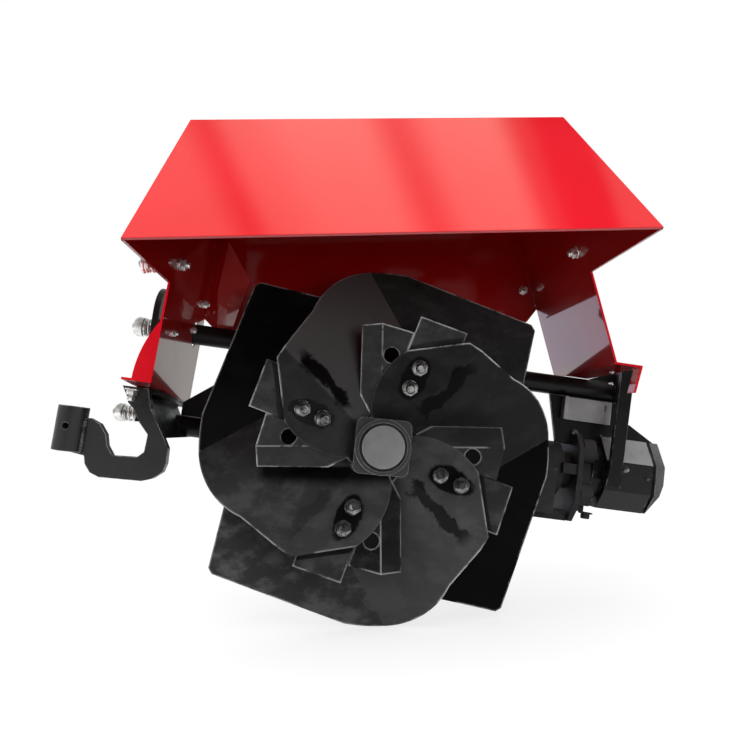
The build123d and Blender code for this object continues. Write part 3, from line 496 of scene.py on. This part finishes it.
CORNER_OUTLINE = (-227, 349), (-194, 281), (-222, 202), (-250, 202), (-248, 262)
corner_plate = bmesh.new()
face = corner_plate.faces.new([corner_plate.verts.new(level(x, 235.8, z)) for x, z in CORNER_OUTLINE])
raised = bmesh.ops.extrude_face_region(corner_plate, geom=[face])["geom"]
front = [vert for vert in raised if isinstance(vert, bmesh.types.BMVert)]
bmesh.ops.translate(corner_plate, verts=front, vec=(0, -2.5 * MM, 0))
bmesh.ops.bevel(corner_plate, geom=corner_plate.edges[:], offset=0.6 * MM, segments=2, profile=0.5,
                affect="EDGES", material=-1)
# a lighter copy of the hood's coat, pale inside: painted light on the corner plate
lit_corner_coat = powder_coat("lit_corner_coat", (0.93, 0.05, 0.05), (0.88, 0.04, 0.04), (0.80, 0.10, 0.085))
finish_piece("corner_plate", corner_plate, lit_corner_coat, "head")


# ------------------------------------------------------------------ hook and its sleeve
# A heavy flat hook burnt from plate and a drilled socket welded to its end, to hang the head up or pin a
# support to it. Same black enamel, worn brighter on the arrises.
hook_enamel = enamel("hook_enamel", (0.013, 0.013, 0.0135), gloss=(0.25, 0.45), wear=0.52, wear_width=0.003)
finish_node(hook_enamel, "hook_plate", "hook_sleeve")

hook_weld = bmesh.new()
for y in (59.0, 73.0):
    add_bead(hook_weld, hung(-401.5, y, -18), hung(-401.5, y, -60), 3.2, 14)
finish_piece("hook_weld", hook_weld, hook_enamel, "head")


# ------------------------------------------------------------------ drive
# Cast gearbox with its long neck and end flange, the adapter ring and the hydraulic motor. Castings keep
# a coarse sand skin under the paint; the motor's pressed covers are smoother.
casting_paint = enamel("casting_paint", (0.046, 0.046, 0.047), gloss=(0.5, 0.65), shine=0.12, wear=0.35,
                       wear_width=0.0025, grain=(230.0, 0.35))
finish_node(casting_paint, "gearbox_housing", "gearbox_end_flange", "output_bearing")

motor_paint = enamel("motor_paint", (0.007, 0.007, 0.0074), gloss=(0.3, 0.45), shine=0.3, wear=0.4,
                     grain=(420.0, 0.12))
tree = motor_paint.node_tree
color = tree.nodes["Principled BSDF"].inputs["Base Color"]
# the motor's upward faces painted pale grey in patches: painted light on its top
top_light_patches = step(tree, speckle(tree, 16.0, 5.0), 0.25, 0.62, 0.45, 1.0)
painted_top_light = math_node(tree, "MULTIPLY", step(tree, facing(tree, "Z"), 0.30, 0.62), top_light_patches)
tree.links.new(blend_colors(tree, painted_top_light, color.links[0].from_socket, (0.33, 0.33, 0.33)), color)
finish_node(motor_paint, "motor_body")

cover_paint = enamel("cover_paint", (0.125, 0.125, 0.127), gloss=(0.3, 0.45), wear=0.5, grain=(300.0, 0.15))
finish_node(cover_paint, "motor_end_cover")
finish_node(frame_enamel, "motor_adapter", "motor_port_block")


# ------------------------------------------------------------------ fasteners of the drive
# Socket and hexagon bolts through the end flange's bosses and the motor, and the drain plug in the foot of
# the gearbox. Black oxide and zinc plated steel, screwed in.
flange_bolts = bmesh.new()
for y, z in ((165, 26), (163, -41), (243, 26), (245, -41)):
    add_nut(flange_bolts, hung(345, y, z), toward(1, 0, 0), flats=15, end=2, washer=10)
finish_piece("flange_bolts", flange_bolts, casting_paint, "head")

motor_bolts = bmesh.new()
for x, y, z, flats in ((393.0, 147, 13.2, 8.5), (430.0, 147, 2.9, 4.5), (318.5, 181, 62.5, 9.0)):
    add_nut(motor_bolts, hung(x, y, z), toward(0, -1, 0), flats=flats, end=1.5, washer=flats * 0.6)
dull_plating = plated("dull_plating", (0.30, 0.30, 0.29), (0.12, 0.12, 0.12))
finish_piece("motor_bolts", motor_bolts, dull_plating, "head")

GEARBOX_FOOT = -62.0
drain_plug = bmesh.new()
add_washer(drain_plug, 11.0, WASHER, standing(hung(346, 170, GEARBOX_FOOT), toward(0, 0, -1)))
add_hex(drain_plug, 13.0, 8.0, standing(hung(346, 170, GEARBOX_FOOT - WASHER), toward(0, 0, -1)))
finish_piece("drain_plug", drain_plug, casting_paint, "head")


# ------------------------------------------------------------------ rotor
# Four folded blades round a square hub, each with a bent arm behind it and a bolted knife. Sprayed black
# after folding; soil has polished the cut edges to bright steel. Every blade, arm and knife has its own
# tones, painted for the light and shade it gets, and painted dark reflections, shadows and highlights.
# Places are millimetres off the axis, across and up, where the first blade stands.
BOLT_RADII, BOLT_ANGLE = (88.8, 118.6), math.radians(61.7)
BOLT_PLACES = [(radius * math.cos(BOLT_ANGLE), radius * math.sin(BOLT_ANGLE)) for radius in BOLT_RADII]
HALFWAY = 15.0                                         # from the inner bolt, the middle of the two
SHADOW_HALF_WIDTH, SHADOW_HALF_LENGTH = 18.0, 33.0       # of the painted shadow round them
BLADE_FOLD = (44.4, 37.6), (143.5, 126.4)              # between mounting panel and wing
PANEL_EDGE = (39.9, 129.0), (124.7, 135.6)             # outer edge of the mounting panel, over the knife
ARM_BEND = (2.0, 30.0), (8.5, 168.0)
BEHIND_HOLE = 134.0, -20.5                             # on the wing, behind the next arm's hole
UNDER_ARM = (42.0, 30.0), (172.0, 22.0)                # on the wing, along the next arm's outer edge
HUB_EDGE = 34.0, 46.0                                  # across, where the blade comes out from the hub
# the dark of the painted reflections and bolt shadows, of the painted shade behind the hole, and the caked
# soil
REFLECTION_AND_SHADOW_DARK, HOLE_SHADE, CAKED = 0.0025, 0.0005, 0.13      # how dark the marks on the paint are


def own_place(tree, number):
    """Object coordinates as millimetres off the rotor axis, turned into the first blade's directions."""
    where = tree.nodes.new("ShaderNodeTexCoord")
    centred = vector_node(tree, "SUBTRACT", where.outputs["Object"], (AXIS_X, CAP_FACE_Y, AXIS_Z))
    turned = tree.nodes.new("ShaderNodeVectorRotate")
    turned.rotation_type = "Y_AXIS"
    turned.inputs["Angle"].default_value = math.pi / 2 * (number - 1)
    tree.links.new(vector_node(tree, "MULTIPLY", centred, (1 / MM, 1 / MM, 1 / MM)), turned.inputs["Vector"])
    return turned.outputs[0]


def beside_line(tree, place, start, end):
    """How far along the line from start to end, and how far beside it, in millimetres."""
    start, end = Vector(start), Vector(end)
    run = (end - start).normalized()
    found = []
    for axis in ((run.x, 0, run.y), (-run.y, 0, run.x)):
        dot = vector_node(tree, "DOT_PRODUCT", place, axis)
        found.append(math_node(tree, "SUBTRACT", dot, axis[0] * start.x + axis[2] * start.y))
    return found


def wavering(tree, value, scale, amount, detail=4.0):
    """value shifted by noise, up to half of amount each way."""
    noise = math_node(tree, "SUBTRACT", speckle(tree, scale, detail, 0.6), 0.5)
    return math_node(tree, "ADD", value, math_node(tree, "MULTIPLY", noise, amount))


def product(tree, first, *others):
    for other in others:
        first = math_node(tree, "MULTIPLY", first, other)
    return first


def squares(tree, first, second):
    """The sum of two squares."""
    return math_node(tree, "ADD", product(tree, first, first), product(tree, second, second))


def grey(value):
    return value, value, value * 1.01


def blade_marks(tree, place, coat, smeared, greased):
    """Painted dark reflection along the fold, painted shadow round the bolts, behind the arm's hole and
    beside the arm.
    """
    along, beside = beside_line(tree, place, *BLADE_FOLD)
    # a dark band along the fold: a painted reflection
    off_fold = wavering(tree, math_node(tree, "ADD", beside, 5.0), 34.0, 44.0, 5.0)
    smear = product(tree, step(tree, math_node(tree, "ABSOLUTE", off_fold), 6.0, 11.0, smeared, 0),
                    step(tree, wavering(tree, along, 30.0, 60.0), 0.0, 12.0),
                    step(tree, along, 96.0, 118.0, 1, 0))
    # a dark patch round the two bolts: painted shadow
    along_bolts, off_bolts = beside_line(tree, place, *BOLT_PLACES)
    round_bolts = squares(tree, math_node(tree, "MULTIPLY", off_bolts, 1 / SHADOW_HALF_WIDTH),
                          math_node(tree, "MULTIPLY", math_node(tree, "SUBTRACT", along_bolts, HALFWAY),
                                    1 / SHADOW_HALF_LENGTH))
    bolt_shadow = step(tree, wavering(tree, round_bolts, 70.0, 1.2), 0.75, 1.1, 1, 0)
    coat = blend_colors(tree, math_node(tree, "MAXIMUM", smear, bolt_shadow), coat, grey(REFLECTION_AND_SHADOW_DARK))
    # a dark disc where the next arm's hole shows the wing: painted shade
    behind = squares(tree, *beside_line(tree, place, BEHIND_HOLE, (BEHIND_HOLE[0] + 1, BEHIND_HOLE[1])))
    coat = blend_colors(tree, step(tree, behind, 300.0, 420.0, 1, 0), coat, grey(HOLE_SHADE))
    # a dark band beside the next arm: painted shadow of the arm
    down_arm, below = beside_line(tree, place, *UNDER_ARM)
    below = wavering(tree, below, 30.0, 14.0)
    painted_arm_shadow = product(tree, step(tree, below, -6.0, -2.0), step(tree, below, 8.0, 26.0, greased, 0),
                     step(tree, down_arm, 118.0, 134.0, 1, 0))
    return blend_colors(tree, painted_arm_shadow, coat, grey(0.001))


def arm_marks(tree, place, coat):
    """A painted highlight along the bend, here and there."""
    off_bend = beside_line(tree, place, *ARM_BEND)[1]
    # the bright line along the bend is a painted highlight
    rubbed = product(tree, step(tree, math_node(tree, "ABSOLUTE", off_bend), 0.6, 1.5, 1, 0),
                     step(tree, speckle(tree, 50.0, 3.0), 0.38, 0.48))
    return blend_colors(tree, rubbed, coat, grey(0.30))


def knife_marks(tree, place, coat):
    """Painted shadow along the edge of the panel that clamps the knife."""
    beyond = beside_line(tree, place, *PANEL_EDGE)[1]
    # a dark band beside the panel's edge: painted shadow
    painted_edge_shadow = product(tree, step(tree, wavering(tree, beyond, 40.0, 5.0), 7.0, 9.0, 1, 0),
                     step(tree, beyond, -4.0, -2.0))
    return blend_colors(tree, painted_edge_shadow, coat, grey(0.002))


def rotor_paint(name, number, painted_light_tones, soiled, gloss, wear, marks, **amounts):
    """Black enamel of one blade, arm or knife: its tones, painted for the light and shade on each face, its
    soil film, its marks, and rubbed edges.
    """
    material, tree, shader = new_material(name)
    panel, wing, tail = painted_light_tones
    face_soil, tail_soil = soiled
    place = own_place(tree, number)
    beside = beside_line(tree, place, *BLADE_FOLD)[1]
    front = facing(tree, "Y")
    square_on = -0.998, -0.990           # the flat tail faces straight forward, panel and wing don't
    peel = put_group(tree, ORANGE_PEEL, Grain_Scale=600.0, Smudge_Scale=16.0)
    # panel, wing and tail get their own tones: painted light and shade by how each face is lit
    coat = blend_colors(tree, step(tree, beside, -2.0, 6.0), grey(wing), grey(panel))
    coat = blend_colors(tree, step(tree, front, *square_on), grey(tail), coat)
    film = product(tree, step(tree, speckle(tree, 21.0, 6.0, 0.62, (1.0, 1.0, 1.5)), 0.44, 0.64),
                   step(tree, front, *square_on, tail_soil, face_soil))
    coat = marks(tree, place, blend_colors(tree, film, coat, grey(CAKED)), **amounts)
    edge = put_group(tree, EDGE_WEAR, Width=0.0060, Amount=wear, Patch_Scale=20.0)["Mask"]
    if marks is blade_marks:
        across = vector_node(tree, "DOT_PRODUCT", place, (1, 0, 0))
        edge = math_node(tree, "MULTIPLY", edge, step(tree, across, *HUB_EDGE, 0.12, 1))
    tree.links.new(blend_colors(tree, edge, coat, grey(0.62)), shader.inputs["Base Color"])
    tree.links.new(math_node(tree, "MULTIPLY", edge, 0.7), shader.inputs["Metallic"])
    smudged = step(tree, peel["Smudge"], 0.0, 1.0, 0.28, 0.42)
    tree.links.new(wavering(tree, smudged, 45.0, 0.12), shader.inputs["Roughness"])
    tree.links.new(bump(tree, peel["Height"], 0.05, 0.001), shader.inputs["Normal"])
    shader.inputs["Specular IOR Level"].default_value = gloss
    return material


# how dark panel, wing and tail are, painted for the light and shade on each; the soil on panel and wing, and
# on the tail; gloss; painted dark reflection along the fold; painted shadow beside the next arm
BLADES = (
    ((0.020, 0.030, 0.002), (0.10, 0.00), 0.05, 1.0, 0.4),
    ((0.018, 0.100, 0.016), (0.10, 0.12), 0.16, 1.0, 0.0),
    ((0.046, 0.034, 0.001), (0.30, 0.00), 0.12, 0.3, 1.0),
    ((0.060, 0.076, 0.044), (0.40, 0.90), 0.09, 0.9, 0.0),
)
# each arm its own tone: painted light and shade
ARM_PAINTED_LIGHT_TONES = 0.018, 0.020, 0.004, 0.024
KNIFE_TONE = 0.022
for number, (painted_light_tones, soiled, gloss, smeared, greased) in enumerate(BLADES, 1):
    blade_enamel = rotor_paint(f"blade_{number}_enamel", number, painted_light_tones, soiled, gloss, 0.52, blade_marks,
                               smeared=smeared, greased=greased)
    finish_node(blade_enamel, f"blade_{number}")
for number, tone in enumerate(ARM_PAINTED_LIGHT_TONES, 1):
    arm_enamel = rotor_paint(f"arm_{number}_enamel", number, [tone] * 3, (0.15, 0.0), 0.25, 0.50, arm_marks)
    knife_enamel = rotor_paint(f"knife_{number}_enamel", number, [KNIFE_TONE] * 3, (0.35, 0.3), 0.25, 0.50,
                               knife_marks)
    finish_node(arm_enamel, f"arm_{number}")
    finish_node(knife_enamel, f"knife_{number}")
hub_enamel = enamel("hub_enamel", (0.032, 0.032, 0.0325), gloss=(0.3, 0.5), wear=0.6)
finish_node(hub_enamel, "rotor_hub")
cap_paint = enamel("cap_paint", (0.24, 0.24, 0.242), bare=(0.6, 0.6, 0.6), gloss=(0.35, 0.5), wear=0.6)
finish_node(cap_paint, "hub_cap")
shaft_steel = enamel("shaft_steel", (0.35, 0.35, 0.35), gloss=(0.25, 0.35), wear=0.5)
finish_node(shaft_steel, "rotor_shaft")


# ------------------------------------------------------------------ blade bolts and welds
# Two carriage bolts through each blade, arm and knife, nut and washer in front, round head behind, and the
# short welds that hold the arms to the hub's corners. Black steel, the paint knocked off the nuts.
bolt_black = plated("bolt_steel", (0.30, 0.30, 0.295), (0.04, 0.04, 0.04), gloss=(0.16, 0.30))
PANEL_DEPTHS = 31.3, 26.1                    # of the panel's front face at each bolt
PANEL_SQUARE = Vector((-0.091, -1.0, -0.147)).normalized()
STACK = 20.0                                 # blade, arm and knife together
ROUND_HEAD = (0, 7), (5, 6.8), (10, 5.2), (13.5, 2.2), (14, 0.4), (14, 0), (0, 0)
WELD = (-24, 27, 33), (-13, 30, 46)          # its ends at a corner of the hub: across, deep, up
for k in range(4):
    quarter = Matrix.Rotation(math.pi / 2 * k, 3, "Y")
    axis = quarter @ PANEL_SQUARE
    bolts = bmesh.new()
    for (across, up), depth in zip(BOLT_PLACES, PANEL_DEPTHS):
        base = level(*(quarter @ Vector((across, depth, up))))
        add_nut(bolts, base, axis, flats=19.0, end=20.0, washer=11.0)
        add_turned(bolts, ROUND_HEAD, standing(base - axis * STACK * MM, -axis))
    finish_piece(f"blade_bolts_{k + 1}", bolts, bolt_black, "rotor")
    weld = bmesh.new()
    add_bead(weld, *[level(*(quarter @ Vector(place))) for place in WELD], 3.4, 7)
    finish_piece(f"arm_weld_{k + 1}", weld, bolt_black, "rotor")


# ------------------------------------------------------------------ floor, light and camera
# A plain pale floor under the head, a white studio whose panels show in the gloss, three soft lamps, and a
# camera standing before the open side of the hood.
FLOOR_DROP = 0.001
floor_mesh = bmesh.new()
bmesh.ops.create_circle(floor_mesh, cap_ends=True, segments=96, radius=6.0)
bmesh.ops.translate(floor_mesh, verts=floor_mesh.verts, vec=(0, 0, cad_box[0].z - FLOOR_DROP))
floor_data = bpy.data.meshes.new("floor")
floor_mesh.to_mesh(floor_data)
floor_mesh.free()
floor = bpy.data.objects.new("floor", floor_data)
bpy.context.scene.collection.objects.link(floor)
floor_paint, tree, shader = new_material("floor_paint")
shader.inputs["Roughness"].default_value = 0.9
shader.inputs["Specular IOR Level"].default_value = 0.0
ray = tree.nodes.new("ShaderNodeLightPath")
mirrored = math_node(tree, "MAXIMUM", ray.outputs["Is Glossy Ray"], ray.outputs["Is Transmission Ray"])
seen = math_node(tree, "MAXIMUM", ray.outputs["Is Camera Ray"], mirrored)
tree.links.new(blend_colors(tree, seen, (0.06, 0.06, 0.06), (0.40, 0.40, 0.40)), shader.inputs["Base Color"])
tree.links.new(blend_colors(tree, seen, (0, 0, 0), (0.72, 0.72, 0.72)), shader.inputs["Emission Color"])
shader.inputs["Emission Strength"].default_value = 1.0
floor_data.materials.append(floor_paint)


def background(tree, color, strength=1.0):
    node = tree.nodes.new("ShaderNodeBackground")
    feed(tree, node.inputs["Color"], color)
    node.inputs["Strength"].default_value = strength
    return node.outputs[0]


def mix_shaders(tree, mask, first, second):
    """first where the mask is 0, second where it is 1."""
    node = tree.nodes.new("ShaderNodeMixShader")
    for socket, output in zip(node.inputs, (mask, first, second)):
        tree.links.new(output, socket)
    return node.outputs[0]


world = bpy.data.worlds.new("studio")
bpy.context.scene.world = world
world.use_nodes = True
tree = world.node_tree
tree.nodes.clear()
where = tree.nodes.new("ShaderNodeTexCoord")
split = tree.nodes.new("ShaderNodeSeparateXYZ")
tree.links.new(where.outputs["Generated"], split.inputs[0])
x, y, z = split.outputs

# the ceiling's panels: places along a slanting line across it, and how bright each is
PANELS = ((0.20, 0.50), (0.36, 0.52), (0.41, 0.18), (0.455, 0.68), (0.55, 0.98), (0.63, 1.0), (0.69, 0.36),
          (0.755, 0.90), (0.83, 0.95), (0.88, 0.16), (0.91, 0.0), (0.97, 0.0), (1.0, 0.35))
height = math_node(tree, "MAXIMUM", z, 0.2)
across = math_node(tree, "DIVIDE", x, height)
along = math_node(tree, "DIVIDE", y, height)
slanting = math_node(tree, "ADD", across, math_node(tree, "MULTIPLY", along, 0.4))
panels = tree.nodes.new("ShaderNodeValToRGB")
tree.links.new(math_node(tree, "ADD", slanting, 0.5), panels.inputs[0])
ramp = panels.color_ramp
ramp.interpolation = "EASE"
ramp.elements[0].position, ramp.elements[1].position = PANELS[0][0], PANELS[-1][0]
for place, value in PANELS[1:-1]:
    ramp.elements.new(place)
for element, (place, value) in zip(ramp.elements, PANELS):
    element.color = (value, value, value * 0.82, 1)

# the walls: dim in front and on the right, pale on the left, and behind the head violet white to green grey
left_wall = step(tree, x, -0.55, -0.25, 0.62, 0.04)
side_walls = math_node(tree, "MAXIMUM", left_wall, step(tree, y, -0.60, -0.36, 0.04, 0.62))
rear_wall = blend_colors(tree, step(tree, x, -0.1, 0.1), (0.98, 0.94, 1.12), (0.55, 0.62, 0.60))
walls = blend_colors(tree, step(tree, y, -0.1, 0.3), side_walls, rear_wall)
room = blend_colors(tree, step(tree, z, 0.60, 0.85), walls, panels.outputs["Color"])
sky = background(tree, step(tree, z, 0.0, 0.9, 0.04, 1.0), 0.9)
ray = tree.nodes.new("ShaderNodeLightPath")
mirrored = math_node(tree, "MAXIMUM", ray.outputs["Is Glossy Ray"], ray.outputs["Is Transmission Ray"])
unseen = mix_shaders(tree, mirrored, sky, background(tree, room))
studio = mix_shaders(tree, ray.outputs["Is Camera Ray"], unseen, background(tree, (1, 1, 1)))
tree.links.new(studio, tree.nodes.new("ShaderNodeOutputWorld").inputs["Surface"])


def softbox(name, place, target, size, watts):
    """A square lamp turned to its target, which doesn't show in the gloss."""
    lamp = bpy.data.lights.new(name, "AREA")
    lamp.shape = "SQUARE"
    lamp.size = size
    lamp.energy = watts
    holder = bpy.data.objects.new(name, lamp)
    bpy.context.scene.collection.objects.link(holder)
    holder.location = place
    holder.rotation_euler = (Vector(target) - Vector(place)).to_track_quat("-Z", "Y").to_euler()
    holder.visible_glossy = False


softbox("key_light", (-0.5, -1.5, 2.0), (0, -0.2, 0), 1.8, 24)
softbox("fill_light", (0.7, -2.1, -0.05), (0, -0.2, -0.1), 1.1, 15)
softbox("side_light", (-2.2, -0.9, 0.2), (0, -0.2, -0.1), 1.2, 15)

EYE = Vector((-0.0909, -1.0531, -0.1084))
RIGHTWARD = Vector((0.9968, -0.0684, -0.0419))
UPWARD = Vector((0.0359, -0.0865, 0.9956))
FORWARD = Vector((0.0718, 0.9939, 0.0837))
camera_data = bpy.data.cameras.new("camera")
camera_data.lens = 30.72
camera_data.sensor_width = 36.0
camera = bpy.data.objects.new("camera", camera_data)
bpy.context.scene.collection.objects.link(camera)
bpy.context.scene.camera = camera
camera_axes = Matrix((RIGHTWARD, UPWARD, -FORWARD)).transposed()
camera.matrix_world = Matrix.Translation(EYE) @ camera_axes.to_4x4()

bpy.context.scene.view_settings.view_transform = "Standard"
